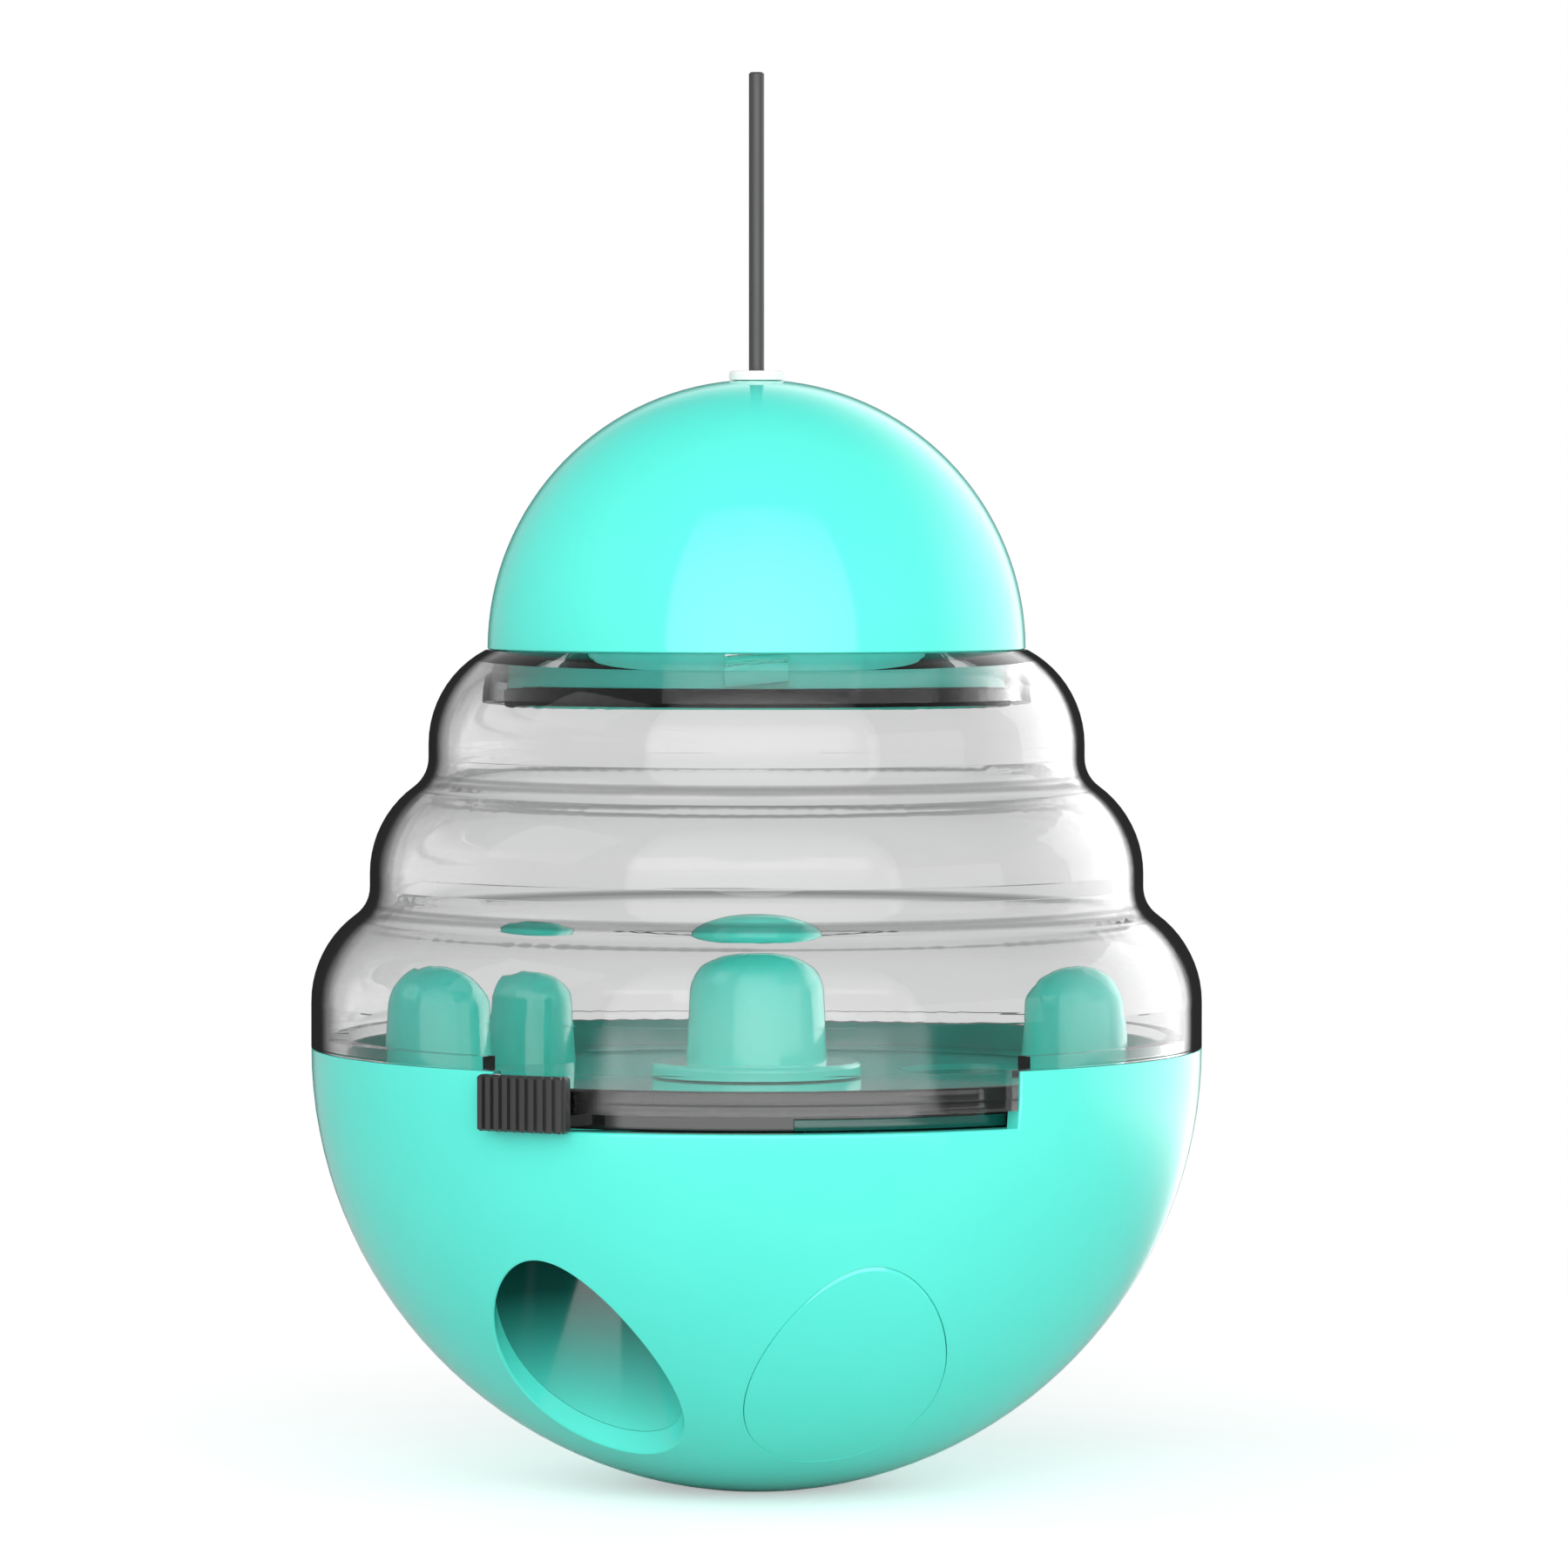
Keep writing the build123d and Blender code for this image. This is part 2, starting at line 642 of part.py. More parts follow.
# Clear body: three tiers, a skirt inside the bowl's rim, the tongue, and a neck with lugs for the cap
with BuildPart() as clear_body:
    with BuildSketch(Plane.XZ) as body_profile:
        with BuildLine():
            tier_outline(0, body_bottom, neck_radius)
            tier_outline(clear_wall, body_bottom, neck_outer)
            Line((bowl_radius, body_bottom), (body_inner_radius, body_bottom))
            Polyline(
                (neck_radius, neck_top),
                (neck_bore, neck_top),
                (neck_bore, bead_bottom + bead_height),
                (neck_lug_inner, bead_bottom + bead_height),
                (neck_lug_inner, bead_bottom),
                (neck_outer, bead_bottom),
                (neck_outer, shoulder_height(tier_count - 1, neck_outer, clear_wall)),
            )
        make_face()
        for index in range(1, tier_count):
            for inset, radius in ((0, groove_fillet), (clear_wall, inner_fillet)):
                wall = tier_radius(index) - inset
                corner = (wall, shoulder_height(index - 1, wall, inset))
                fillet(body_profile.vertices().sort_by_distance(corner)[0], radius=radius)
    revolve(axis=Axis.Z)
    with BuildSketch(upright(skirt_start)):
        with BuildLine():
            Polyline(
                (skirt_inner, skirt_bottom),
                (skirt_outer, skirt_bottom),
                (skirt_outer, body_bottom),
                (body_inner_radius + clear_wall / 2, body_bottom),
                (body_inner_radius + clear_wall / 2, body_bottom + skirt_ledge),
                (skirt_inner, body_bottom + skirt_ledge),
                close=True,
            )
        make_face()
    revolve(axis=Axis.Z, revolution_arc=360 - 2 * skirt_start)
    add(tongue.part)
    for turn in lug_turns:
        with BuildSketch(lug_plane(turn, neck_lug_inner, neck_lug_height)):
            Rectangle(lug_length, lug_thickness)
        extrude(amount=neck_bore - neck_lug_inner + lug_root)

# Dome: a half ball shell with a hole for the wand's grommet
with BuildPart() as dome_shell:
    with BuildSketch(Plane.XZ):
        with BuildLine():
            outer_sweep = degrees(acos(grommet_hole / dome_radius))
            inner_sweep = degrees(acos(grommet_hole / dome_inner_radius))
            outer = CenterArc((0, dome_base), dome_radius, 0, outer_sweep)
            inner = CenterArc((0, dome_base), dome_inner_radius, 0, inner_sweep)
            Line(outer @ 0, inner @ 0)
            Line(outer @ 1, inner @ 1)
        make_face()
    revolve(axis=Axis.Z)
    fillet(dome_shell.edges().group_by(Axis.Z)[0].sort_by(SortBy.LENGTH)[-1], radius=dome_edge)

# Collar: the ring bonded into the dome, with a groove for the seal and lugs for the neck
with BuildPart() as cap_collar:
    with BuildSketch(Plane.XZ):
        with BuildLine():
            Polyline(
                (collar_radius - collar_wall, collar_bottom),
                (seal_seat, collar_bottom),
                (seal_seat, seal_bottom + seal_height + running_gap),
                (collar_radius, seal_bottom + seal_height + running_gap),
                (collar_radius, dome_base),
                (collar_flange_radius, dome_base),
                (collar_flange_radius, dome_base + collar_flange),
                (collar_radius - collar_wall, dome_base + collar_flange),
                close=True,
            )
        make_face()
    revolve(axis=Axis.Z)
    for turn in lug_turns:
        with BuildSketch(lug_plane(turn, collar_radius - lug_root, cap_lug_height)):
            Rectangle(lug_length, lug_thickness)
        extrude(amount=lug_root + lug_reach)

with BuildPart() as cap_seal:
    with BuildSketch(Plane.XY.offset(seal_bottom)):
        Circle(seal_radius)
        Circle(seal_seat + running_gap, mode=Mode.SUBTRACT)
    extrude(amount=seal_height)
    fillet(cap_seal.edges().sort_by(SortBy.LENGTH)[-2:], radius=seal_proud)

# Grommet: a white rubber socket in the dome's top, with a flange outside and a barb inside
with BuildPart() as wand_grommet:
    with BuildSketch(Plane.XZ):
        with BuildLine():
            Polyline(
                (0, socket_bottom - grommet_floor),
                (grommet_tube_radius, socket_bottom - grommet_floor),
                (grommet_tube_radius, barb_top - grommet_barb_height),
                (barb_radius, barb_top - grommet_barb_height),
                (barb_radius, barb_top),
                (grommet_shank_radius, barb_top),
                (grommet_shank_radius, grommet_seat),
                (grommet_radius, grommet_seat),
                (grommet_radius, grommet_top),
                (wand_spigot_radius + seat_gap, grommet_top),
                (wand_spigot_radius + seat_gap, socket_bottom),
                (0, socket_bottom),
                close=True,
            )
        make_face()
    revolve(axis=Axis.Z)
    fillet(wand_grommet.edges().group_by(Axis.Z)[-1].sort_by(SortBy.LENGTH)[-1], radius=grommet_edge)

# Wand: a straight coated rod, with a thinner end that stands in the grommet
with BuildPart() as wand_rod:
    with BuildSketch(Plane.XY.offset(socket_bottom + seat_gap)):
        Circle(wand_spigot_radius)
    extrude(amount=socket_depth)
    with BuildSketch(Plane.XY.offset(grommet_top + seat_gap)):
        Circle(wand_radius)
    extrude(amount=wand_length)
    chamfer(wand_rod.edges().group_by(Axis.Z)[-1], length=wand_edge)

# Written pieces
pieces = {
    "bowl": bowl.part,
    "outlet_chute": outlet_chute.part,
    "outlet_plug": outlet_plug.part,
    "floor_plate": floor_plate.part,
    "floor_screws": floor_screws.part,
    "counterweight": counterweight.part,
    "weight_cover": weight_cover.part,
    "weight_screws": weight_screws.part,
    "hub_knob": hub_knob.part,
    "hub_washer": hub_washer.part,
    "hub_screw": hub_screw.part,
    "shutter_disc": shutter_disc.part,
    "stir_plate": stir_plate.part,
    "shutter_grip": shutter_grip.part,
    "peg_left": peg_left,
    "peg_back": peg_back,
    "peg_right": peg_right,
    "clear_body": clear_body.part,
    "dome_shell": dome_shell.part,
    "cap_collar": cap_collar.part,
    "cap_seal": cap_seal.part,
    "wand_grommet": wand_grommet.part,
    "wand_rod": wand_rod.part,
}
os.makedirs("parts", exist_ok=True)
for name, piece in pieces.items():
    piece.label = name
    export_step(piece, f"parts/{name}.step")
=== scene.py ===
# %% [markdown]
# # A tumbling treat dispenser for cats
#
# The toy is a weighted turquoise bowl, a clear stepped body that holds the treats, a domed cap with a
# wand, and a dark shutter disc that opens the outlet. Every piece is hard moulded plastic, rubber or
# metal, so its shape is already right in the engineering model. The pieces could be modelled again
# here, but those of the engineering model are exact and already move on their joints. What this lesson
# adds is what the eye reads on such pieces: gloss, clearness, edges that catch the light, and a plain
# studio to show them in.

# %% Load the engineering frame
import json
import math

import bmesh
import bpy
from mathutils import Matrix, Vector


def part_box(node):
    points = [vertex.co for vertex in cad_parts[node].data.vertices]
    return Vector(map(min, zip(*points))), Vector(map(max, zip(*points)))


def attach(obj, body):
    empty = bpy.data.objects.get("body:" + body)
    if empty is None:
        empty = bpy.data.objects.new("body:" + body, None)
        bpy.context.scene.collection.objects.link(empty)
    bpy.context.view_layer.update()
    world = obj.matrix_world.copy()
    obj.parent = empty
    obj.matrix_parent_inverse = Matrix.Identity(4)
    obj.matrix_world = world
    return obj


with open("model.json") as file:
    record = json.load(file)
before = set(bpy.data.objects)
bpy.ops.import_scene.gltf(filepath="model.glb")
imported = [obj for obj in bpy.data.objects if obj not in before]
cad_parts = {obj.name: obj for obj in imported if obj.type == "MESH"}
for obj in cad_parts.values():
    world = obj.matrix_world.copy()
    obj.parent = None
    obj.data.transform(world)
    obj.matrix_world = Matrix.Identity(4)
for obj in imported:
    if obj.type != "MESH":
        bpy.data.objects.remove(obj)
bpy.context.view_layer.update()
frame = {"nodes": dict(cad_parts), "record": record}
nodes = frame["nodes"]
scene = bpy.context.scene
MM = 0.001

# %% [markdown]
# ## Colours and shader nodes
#
# Colours are written the way a paint shop writes them, as sRGB hex values. Shaders work in linear
# light, so one function converts them, with the numbers of the sRGB standard. A second function adds a
# shader node, sets its values and links its inputs in one call. Nodes could also be wired one line at a
# time, but then a material reads as wiring. This way it reads as a list of what the surface is made of.


# %% Helpers for materials
def linear(hex_colour):
    """Linear RGBA of an sRGB hex colour."""
    channels = [int(hex_colour[start:start + 2], 16) / 255 for start in (1, 3, 5)]
    bent = [c / 12.92 if c <= 0.04045 else ((c + 0.055) / 1.055) ** 2.4 for c in channels]
    return (*bent, 1.0)


def add(tree, kind, settings=None, links=None):
    """Adds a node. Settings are socket values or node properties, links are sockets that feed it."""
    made = tree.nodes.new(kind)
    for name, value in (settings or {}).items():
        if isinstance(name, int) or name in made.inputs:
            made.inputs[name].default_value = value
        else:
            setattr(made, name, value)
    for name, source in (links or {}).items():
        tree.links.new(source, made.inputs[name])
    return made


def new_material(name):
    """An empty material and its node tree."""
    material = bpy.data.materials.new(name)
    material.use_nodes = True
    material.node_tree.nodes.clear()
    return material, material.node_tree


WHITE = linear("#ffffff")
print("white in linear light:", WHITE)

# %% [markdown]
# ## Camera
#
# The photo was taken with a long lens from almost level, a little above the middle of the toy. The
# toy's axis is left of the middle of the picture. The camera could be turned to put it there, but that
# would lean the uprights. So the camera looks straight at the axis, and the lens is shifted sideways.

# %% Camera
CAMERA_PLACE = Vector((0, -900, 112.8)) * MM
CAMERA_AIM = Vector((0, 0, 82.05)) * MM
FRAME_WIDTH = 183.2 * MM
PICTURE_SIDE = 1800
AXIS_PIXEL = 868.5
SENSOR = 36.0

camera_data = bpy.data.cameras.new("camera")
camera_data.type = "PERSP"
camera_data.sensor_width = SENSOR
camera_data.lens = SENSOR * (CAMERA_AIM - CAMERA_PLACE).length / FRAME_WIDTH
camera_data.shift_x = 0.5 - AXIS_PIXEL / PICTURE_SIDE
camera = bpy.data.objects.new("camera", camera_data)
camera.location = CAMERA_PLACE
camera.rotation_euler = (CAMERA_AIM - CAMERA_PLACE).to_track_quat("-Z", "Y").to_euler()
scene.collection.objects.link(camera)
scene.camera = camera
scene.view_settings.view_transform = "Standard"
print("lens in mm:", round(camera_data.lens, 1))

# %% [markdown]
# ## Studio
#
# A product like this is shot on a white sweep, paper that runs from the table up behind it. The
# backdrop could be a bright wall, but a wall that bright would light the toy as well. So the shaders of
# the studio ask which ray is looking. A ray from the camera, straight or through clear walls, sees
# plain white. A reflection sees the room instead, and any other ray carries soft light at a plain
# level.

# %% Which ray is looking
BEFORE_A_BOUNCE = 0.5


def seen_through(tree):
    """Factors of a view that reaches a surface straight or through clear walls, and of a reflection."""
    path = add(tree, "ShaderNodeLightPath").outputs
    straight = add(
        tree,
        "ShaderNodeMath",
        {"operation": "MAXIMUM"},
        {0: path["Is Camera Ray"], 1: path["Is Transmission Ray"]},
    ).outputs[0]
    bounces = add(
        tree, "ShaderNodeMath", {"operation": "ADD"}, {0: path["Diffuse Depth"], 1: path["Glossy Depth"]}
    ).outputs[0]
    unscattered = add(
        tree, "ShaderNodeMath", {"operation": "LESS_THAN", 1: BEFORE_A_BOUNCE}, {0: bounces}
    ).outputs[0]
    view = add(tree, "ShaderNodeMath", {"operation": "MULTIPLY"}, {0: straight, 1: unscattered}).outputs[0]
    return view, path["Is Glossy Ray"]


# %% [markdown]
# Gloss is only as good as the room it mirrors. This room is plain grey and has one bright corner,
# behind the toy on the right, which lays a soft pale glow on the right of each ball. Straight behind
# the toy hangs a dark flag. A ball mirrors what is straight behind it at its very rim, so the flag
# draws the thin dark outlines that lift the toy off the white. A picture of a real studio could be
# wrapped round the scene instead, but two headings are easier to steer and need no file.

# %% Brightness of the room
ROOM_PLAIN, ROOM_BRIGHT = 0.5, 2.5
CORNER_HEADING = (0.64, 0.77, 0.0)
CORNER_TURN = (0.45, 0.97)
FLAG_HEADING = (0.0, 1.0, 0.0)
FLAG_TURN = (0.90, 0.98)
FLAG_SHARE = 0.1


def toward(tree, way, heading, turn, levels):
    """A level that changes from one to another as a direction turns towards a heading."""
    along = add(
        tree, "ShaderNodeVectorMath", {"operation": "DOT_PRODUCT", 1: heading}, {0: way}
    ).outputs["Value"]
    return add(
        tree,
        "ShaderNodeMapRange",
        {
            "interpolation_type": "SMOOTHSTEP",
            "From Min": turn[0],
            "From Max": turn[1],
            "To Min": levels[0],
            "To Max": levels[1],
        },
        {"Value": along},
    ).outputs["Result"]


def room_level(tree, way):
    """Brightness of the room in a direction: plain, but for the bright corner and the dark flag."""
    corner = toward(tree, way, CORNER_HEADING, CORNER_TURN, (ROOM_PLAIN, ROOM_BRIGHT))
    flag = toward(tree, way, FLAG_HEADING, FLAG_TURN, (1.0, FLAG_SHARE))
    return add(tree, "ShaderNodeMath", {"operation": "MULTIPLY"}, {0: corner, 1: flag}).outputs[0]


# %% [markdown]
# The world joins the three answers in one background: white for a view, the room for a reflection, and
# a plain level for all other light. Overhead the room is darker, so the top of the dome keeps its
# colour.

# %% World
BACKDROP_LEVEL = 1.0
AMBIENT_LEVEL = 0.5
UP = (0.0, 0.0, 1.0)
CEILING_TURN = (0.3, 0.9)
CEILING_SHARE = 0.35

world = bpy.data.worlds.new("white studio")
scene.world = world
world.use_nodes = True
sky = world.node_tree
sky.nodes.clear()
direction = add(sky, "ShaderNodeTexCoord").outputs["Generated"]
ceiling = toward(sky, direction, UP, CEILING_TURN, (1.0, CEILING_SHARE))
view, mirror = seen_through(sky)
surround = add(
    sky, "ShaderNodeMix", {2: AMBIENT_LEVEL}, {0: mirror, 3: room_level(sky, direction)}
).outputs[0]
room = add(sky, "ShaderNodeMath", {"operation": "MULTIPLY"}, {0: surround, 1: ceiling}).outputs[0]
level = add(sky, "ShaderNodeMix", {3: BACKDROP_LEVEL}, {0: view, 2: room}).outputs[0]
background = add(sky, "ShaderNodeBackground", {"Color": WHITE}, {"Strength": level})
add(sky, "ShaderNodeOutputWorld", links={"Surface": background.outputs[0]})
print("world:", world.name, "nodes:", len(sky.nodes))

# %% [markdown]
# ## Floor
#
# The floor is the sweep's paper. Near the toy it is matt paper under the lamps, lifted a little, so it
# keeps the soft shadow of the bowl. Further out it turns into plain white, and the eye finds no end to
# it. Paper lit to pure white everywhere would do for the backdrop, but it would lose the shadow and
# light the bowl from below.

# %% Sweep paper
SHADOW_REACH = (90 * MM, 320 * MM)
PAPER_LIFT = 0.42

floor_material, tree = new_material("white sweep paper")
spot = add(tree, "ShaderNodeTexCoord").outputs["Object"]
reach = add(tree, "ShaderNodeVectorMath", {"operation": "LENGTH"}, {0: spot}).outputs["Value"]
beyond = add(
    tree,
    "ShaderNodeMapRange",
    {"interpolation_type": "SMOOTHSTEP", "From Min": SHADOW_REACH[0], "From Max": SHADOW_REACH[1]},
    {"Value": reach},
).outputs["Result"]
paper = add(tree, "ShaderNodeBsdfDiffuse", {"Color": linear("#d8d8d8")})
lit_paper = add(tree, "ShaderNodeBsdfDiffuse", {"Color": linear("#e8e8e8")})
lift = add(tree, "ShaderNodeEmission", {"Color": WHITE, "Strength": PAPER_LIFT})
near = add(tree, "ShaderNodeAddShader", links={0: lit_paper.outputs[0], 1: lift.outputs[0]})
far = add(tree, "ShaderNodeEmission", {"Color": WHITE, "Strength": BACKDROP_LEVEL})
sheet = add(tree, "ShaderNodeMixShader", links={0: beyond, 1: near.outputs[0], 2: far.outputs[0]})
print("paper keeps a shadow out to", round(SHADOW_REACH[1] / MM), "mm")

# %% [markdown]
# On the paper, between the front lamp and the toy, lies a bright reflector card. It carries the lamp's
# panel on down to the floor, so the reflection runs over the cap, the clear tiers and the low part of
# the bowl without a break. A lamp in its place would burn out the paper. The card is a patch of light
# that reflections alone see, cut to a fan with soft edges, and it ends where the lamp's foot stands, so
# the two never add up.

# %% Reflector card
CARD_SIDES = (-0.62, 0.69)
CARD_BLUR = 0.03
CARD_NEAR = (110 * MM, 220 * MM)
CARD_FAR = (1500 * MM, 1440 * MM)
CARD_LEVEL = 3.7

aside = add(tree, "ShaderNodeVectorMath", {"operation": "NORMALIZE"}, {0: spot}).outputs["Vector"]
bearing = add(tree, "ShaderNodeSeparateXYZ", links={"Vector": aside}).outputs
card = add(tree, "ShaderNodeMath", {"operation": "LESS_THAN", 1: 0.0}, {0: bearing["Y"]}).outputs[0]
card_edges = [
    (bearing["X"], CARD_SIDES[0] - CARD_BLUR, CARD_SIDES[0] + CARD_BLUR),
    (bearing["X"], CARD_SIDES[1] + CARD_BLUR, CARD_SIDES[1] - CARD_BLUR),
    (reach, *CARD_NEAR),
    (reach, *CARD_FAR),
]
for measured, outer, inner in card_edges:
    inside = add(
        tree,
        "ShaderNodeMapRange",
        {"interpolation_type": "SMOOTHSTEP", "From Min": outer, "From Max": inner},
        {"Value": measured},
    ).outputs["Result"]
    card = add(tree, "ShaderNodeMath", {"operation": "MULTIPLY"}, {0: card, 1: inside}).outputs[0]
strength = add(
    tree, "ShaderNodeMix", {3: CARD_LEVEL}, {0: card, 2: room_level(tree, aside)}
).outputs[0]
glow = add(tree, "ShaderNodeEmission", {"Color": WHITE}, {"Strength": strength})
gleam = add(tree, "ShaderNodeMixShader", links={0: beyond, 1: paper.outputs[0], 2: glow.outputs[0]})
print("card edges:", len(card_edges))

# %% [markdown]
# The sheet itself is one wide disc, a hair below the toy's foot, so the two faces don't fight. A curved
# sweep could be modelled, but the floor and the backdrop are equally white and no seam shows between
# them.

# %% Floor
FLOOR_RADIUS = 12.0
FLOOR_DROP = 0.05 * MM
FLOOR_SIDES = 96

view, mirror = seen_through(tree)
lit = add(tree, "ShaderNodeMixShader", links={0: mirror, 1: paper.outputs[0], 2: gleam.outputs[0]})
shown = add(tree, "ShaderNodeMixShader", links={0: view, 1: lit.outputs[0], 2: sheet.outputs[0]})
add(tree, "ShaderNodeOutputMaterial", links={"Surface": shown.outputs[0]})

floor_mesh = bpy.data.meshes.new("floor")
bm = bmesh.new()
bmesh.ops.create_circle(bm, cap_ends=True, segments=FLOOR_SIDES, radius=FLOOR_RADIUS)
bmesh.ops.translate(bm, verts=bm.verts, vec=(0, 0, -FLOOR_DROP))
bm.to_mesh(floor_mesh)
bm.free()
floor = bpy.data.objects.new("floor", floor_mesh)
floor_mesh.materials.append(floor_material)
scene.collection.objects.link(floor)
print("floor nodes:", len(tree.nodes))

# %% [markdown]
# ## Lamps
#
# In front stands one tall softbox with a grid. A grid holds light back at steep angles, which Blender calls
# spread, so the panel that the dome mirrors fades into an arch towards its top. Four more lamps fill the
# sides and the back.
# No surface mirrors them, because each would draw a window of its own on every ball. The one at the
# back stands in view behind the clear walls, so rays that pass through these don't see it either.


# %% Lamps
def softbox(name, place, aim, size, radiance, mirrored=True):
    """A rectangular lamp as bright as a surface of that radiance. Gloss shows it only if it is mirrored."""
    data = bpy.data.lights.new(name, "AREA")
    data.shape = "RECTANGLE"
    data.size, data.size_y = size
    data.energy = radiance * math.pi * size[0] * size[1]
    lamp = bpy.data.objects.new(name, data)
    lamp.location = place
    lamp.rotation_euler = (Vector(aim) - Vector(place)).to_track_quat("-Z", "Y").to_euler()
    lamp.visible_camera = False
    lamp.visible_glossy = mirrored
    scene.collection.objects.link(lamp)
    return lamp


TOY_MIDDLE = (0, 0, 0.08)
FRONT_SPREAD = math.radians(138)

front = softbox(
    "front softbox", place=(0.1, -1.5, 1.55), aim=(0.1, 0, 1.55), size=(2.6, 3.1), radiance=1.7
)
front.data.spread = FRONT_SPREAD
# Each fill's name, place and size in metres, and radiance
fill_plan = [
    ("right rear light", (1.2, 0.85, 0.4), (0.9, 1.0), 1.6),
    ("left fill", (-1.2, -0.3, 1.0), (0.9, 0.9), 1.5),
    ("right low fill", (1.2, -0.7, 0.28), (1.0, 0.5), 2.0),
    ("back fill", (-0.3, 1.4, 0.32), (1.4, 0.6), 2.0),
]
fills = {
    name: softbox(name, place, TOY_MIDDLE, size, radiance, mirrored=False)
    for name, place, size, radiance in fill_plan
}
fills["back fill"].visible_transmission = False
print("lamps:", front.name, *fills, sep=", ")

# %% [markdown]
# ## Moulded plastic
#
# Most of the toy is ABS, moulded in a polished tool and coloured right through. Up close such a surface
# is not a mirror: it has a faint ripple where the melt froze against the steel, a few millimetres
# across, and its gloss is a little uneven. One flat colour with one roughness would look like paint on
# glass. A noise on Object coordinates gives the ripple and the uneven gloss, and stays put when a piece
# moves. The ripple is drawn coarser than the real one, so that it shows at all.

# %% How moulded plastic looks
RIPPLE_MM = 3.0
RIPPLE_DEPTH = 0.05 * MM
GLOSS_PATCH_MM = 14.0
NOISE_SPAN = (0.3, 0.7)
GLOSS_SWING = 0.15


def moulded(name, colour, deeper, roughness, ior, ripple, painted_shade=None):
    """Moulded plastic or rubber: a colour that varies a little, an uneven gloss and a faint ripple, and
    painted shade that darkens the colour with height where it is given.
    """
    material, tree = new_material(name)
    place = add(tree, "ShaderNodeTexCoord").outputs["Object"]
    patches = add(
        tree, "ShaderNodeTexNoise", {"Scale": 1 / (GLOSS_PATCH_MM * MM), "Detail": 2.0}, {"Vector": place}
    ).outputs["Fac"]
    tint = add(
        tree, "ShaderNodeMix", {"data_type": "RGBA", 6: linear(colour), 7: linear(deeper)}, {0: patches}
    ).outputs[2]
    # Painted shade: the colour darkens towards a given colour with height.
    if painted_shade:
        shade_colour, low, high = painted_shade
        height = add(tree, "ShaderNodeSeparateXYZ", links={"Vector": place}).outputs["Z"]
        shade_share = add(
            tree, "ShaderNodeMapRange", {"From Min": low, "From Max": high}, {"Value": height}
        ).outputs["Result"]
        tint = add(
            tree, "ShaderNodeMix", {"data_type": "RGBA", 7: linear(shade_colour)}, {0: shade_share, 6: tint}
        ).outputs[2]
    gloss = add(
        tree,
        "ShaderNodeMapRange",
        {
            "From Min": NOISE_SPAN[0],
            "From Max": NOISE_SPAN[1],
            "To Min": roughness * (1 - GLOSS_SWING),
            "To Max": roughness * (1 + GLOSS_SWING),
        },
        {"Value": patches},
    ).outputs["Result"]
    waves = add(
        tree, "ShaderNodeTexNoise", {"Scale": 1 / (RIPPLE_MM * MM), "Detail": 1.0}, {"Vector": place}
    ).outputs["Fac"]
    bump = add(tree, "ShaderNodeBump", {"Strength": ripple, "Distance": RIPPLE_DEPTH}, {"Height": waves})
    shader = add(
        tree,
        "ShaderNodeBsdfPrincipled",
        {"IOR": ior},
        {"Base Color": tint, "Roughness": gloss, "Normal": bump.outputs[0]},
    )
    add(tree, "ShaderNodeOutputMaterial", links={"Surface": shader.outputs[0]})
    return material


# %% [markdown]
# The plastics differ by how their tools were polished, and the chute, the strip and the disc also carry
# painted shade. A comment on each says what that gives the eye.
# The chute could rely on shade alone, but little light finds its way up there and back, and what does comes
# off turquoise walls. So its colour is painted darker with height, from the outlet up into the bowl:
# painted shade.

# %% Turquoise and charcoal ABS
ABS_IOR = 1.53
# Painted shade of the chute: the colour it darkens to, and the heights where that starts and ends.
CHUTE_PAINTED_SHADE = ("#175a52", 9 * MM, 25 * MM)

# Bowl, dome and pegs, from a polished tool: an even colour under a sharp gloss
turquoise = moulded(
    "turquoise ABS", "#5defde", "#57ead8", roughness=0.09, ior=ABS_IOR, ripple=0.04
)
# Stir plate, from a flat mirror-polished tool: it mirrors the pegs that stand on it
plate_turquoise = moulded(
    "polished turquoise ABS", "#4fd8c7", "#49d0bf", roughness=0.06, ior=ABS_IOR, ripple=0.02
)
# Chute: the same plastic, with painted shade that darkens it with height inside
shaded_chute_turquoise = moulded(
    "turquoise ABS with painted shade",
    "#5ae8d7",
    "#55e2d1",
    roughness=0.1,
    ior=ABS_IOR,
    ripple=0.04,
    painted_shade=CHUTE_PAINTED_SHADE,
)
# Strip in the window: painted shade, a dark teal that stands for the shaded inside of the bowl seen through
# the slot, with a softer gloss
painted_slot_shade = moulded(
    "dark teal painted shade", "#145a51", "#11524a", roughness=0.15, ior=ABS_IOR, ripple=0.04
)
# Shutter disc: polished, and painted darker than the grip as painted shade for its shaded place inside the
# bowl; it shows by what it mirrors
shaded_disc_charcoal = moulded(
    "charcoal ABS with painted shade", "#1d1d1d", "#191919", roughness=0.08, ior=ABS_IOR, ripple=0.05
)
# Grip: left duller for the finger, so its ribs read by light and shade
charcoal = moulded(
    "charcoal ABS", "#3a3a3a", "#343434", roughness=0.22, ior=ABS_IOR, ripple=0.05
)
plastics = (turquoise, plate_turquoise, shaded_chute_turquoise, painted_slot_shade, shaded_disc_charcoal, charcoal)
print("plastics:", [made.name for made in plastics])

# %% [markdown]
# ## Clear plastic
#
# The stepped body is clear acrylic. Light that enters a thin clear wall at a grazing angle is piped away
# along it, so the outlines of such a body look dark. Plain glass in an all-white studio has nothing dark to
# bend into its edges, so a Layer Weight ramp mixes in a dark edge of painted shade. By itself that would
# also blacken every shoulder that is seen along its slope, as from above. So it is asked twice, once for
# the wall and once for the round of the body, with a normal that points straight out from the axis. The
# lower answer counts, and only on the outer skin.

# %% Painted dark edges of the clear walls
EDGE_STARTS, EDGE_ENDS = 0.64, 0.80
EVEN_BLEND = 0.5
LEVEL_PLANE = (1, 1, 0)

